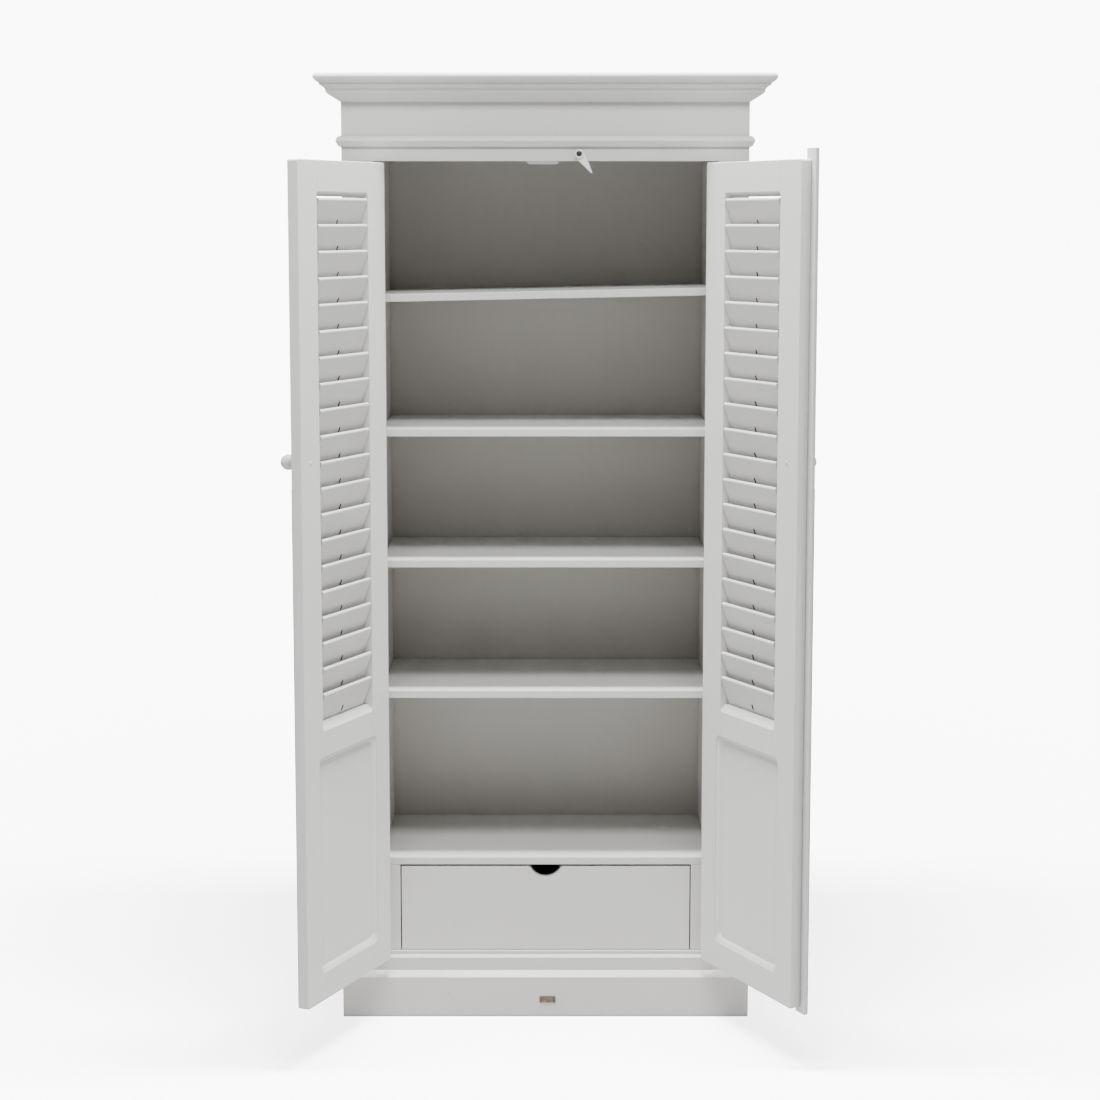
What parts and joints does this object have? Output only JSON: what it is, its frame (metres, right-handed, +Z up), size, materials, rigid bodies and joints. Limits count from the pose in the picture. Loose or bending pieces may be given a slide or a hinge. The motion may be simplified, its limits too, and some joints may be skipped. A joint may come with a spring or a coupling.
{
  "type": "armoire",
  "caption": "Tall painted cupboard with louvred doors, moulded cornice and plinth, adjustable shelves and a notched drawer behind the doors.",
  "frame": {"origin": "on the floor under the middle of the carcass, in the foot of the centre bearer", "axes": "+Z up, front face towards -Y, +X towards the right-hand side seen from the front"},
  "size_m": [1.0046, 0.7215, 1.9],
  "materials": {
    "painted_wood": "satin off-white paint over wood, lightly worn",
    "drawer_wood": "satin off-white paint over wood",
    "hinge_steel": "satin steel butt hinges",
    "screw_steel": "dulled steel screw"
  },
  "bodies": {
    "carcass": {"side_panel_left": "painted_wood", "side_panel_right": "painted_wood", "lining_left": "painted_wood", "lining_right": "painted_wood", "stile_left": "painted_wood", "stile_right": "painted_wood", "bottom_rail": "painted_wood", "frieze_board": "painted_wood", "back_panel": "painted_wood", "top_board": "painted_wood", "bottom_board": "painted_wood", "centre_bearer": "painted_wood", "fixed_shelf": "painted_wood", "drawer_cheek_left": "painted_wood", "drawer_cheek_right": "painted_wood", "door_stop": "painted_wood", "cornice_front": "painted_wood", "cornice_left": "painted_wood", "cornice_right": "painted_wood", "bead_front": "painted_wood", "bead_left": "painted_wood", "bead_right": "painted_wood", "plinth_front": "painted_wood", "plinth_left": "painted_wood", "plinth_right": "painted_wood", "hinge_left_1": "hinge_steel", "hinge_left_2": "hinge_steel", "hinge_left_3": "hinge_steel", "hinge_right_1": "hinge_steel", "hinge_right_2": "hinge_steel", "hinge_right_3": "hinge_steel", "turn_button_screw": "screw_steel"},
    "left_door": {"left_door_hinge_stile": "painted_wood", "left_door_free_stile": "painted_wood", "left_door_top_rail": "painted_wood", "left_door_lock_rail": "painted_wood", "left_door_bottom_rail": "painted_wood", "left_door_panel": "painted_wood", "left_door_louvres": "painted_wood", "left_door_knob": "painted_wood"},
    "right_door": {"right_door_hinge_stile": "painted_wood", "right_door_free_stile": "painted_wood", "right_door_top_rail": "painted_wood", "right_door_lock_rail": "painted_wood", "right_door_bottom_rail": "painted_wood", "right_door_panel": "painted_wood", "right_door_louvres": "painted_wood", "right_door_knob": "painted_wood", "right_door_astragal": "painted_wood"},
    "drawer": {"drawer_front": "drawer_wood", "drawer_side_left": "drawer_wood", "drawer_side_right": "drawer_wood", "drawer_back": "drawer_wood", "drawer_bottom": "drawer_wood"},
    "turn_button": {"turn_button": "painted_wood"},
    "shelf_1": {"shelf_1": "painted_wood"},
    "shelf_2": {"shelf_2": "painted_wood"},
    "shelf_3": {"shelf_3": "painted_wood"},
    "shelf_4": {"shelf_4": "painted_wood"}
  },
  "joints": [
    {"name": "left_door_hinge", "type": "hinge", "parent": "carcass", "child": "left_door", "pos_m": [-0.338, -0.204, 0.9255], "axis": [0, 0, -1], "range_deg": [-114, 61]},
    {"name": "right_door_hinge", "type": "hinge", "parent": "carcass", "child": "right_door", "pos_m": [0.338, -0.204, 0.9255], "axis": [0, 0, 1], "range_deg": [-117, 58]},
    {"name": "drawer_slide", "type": "slide", "parent": "carcass", "child": "drawer", "axis": [0, -1, 0], "range_m": [0, 0.245]},
    {"name": "turn_button_pivot", "type": "hinge", "parent": "carcass", "child": "turn_button", "pos_m": [0.066, -0.2, 1.746], "axis": [0, -1, 0], "range_deg": [-120, 55]},
    {"name": "shelf_1_lift", "type": "slide", "parent": "carcass", "child": "shelf_1", "axis": [0, 0, 1], "range_m": [0, 0.05]},
    {"name": "shelf_2_lift", "type": "slide", "parent": "carcass", "child": "shelf_2", "axis": [0, 0, 1], "range_m": [0, 0.05]},
    {"name": "shelf_3_lift", "type": "slide", "parent": "carcass", "child": "shelf_3", "axis": [0, 0, 1], "range_m": [0, 0.05]},
    {"name": "shelf_4_lift", "type": "slide", "parent": "carcass", "child": "shelf_4", "axis": [0, 0, 1], "range_m": [0, 0.05]}
  ]
}
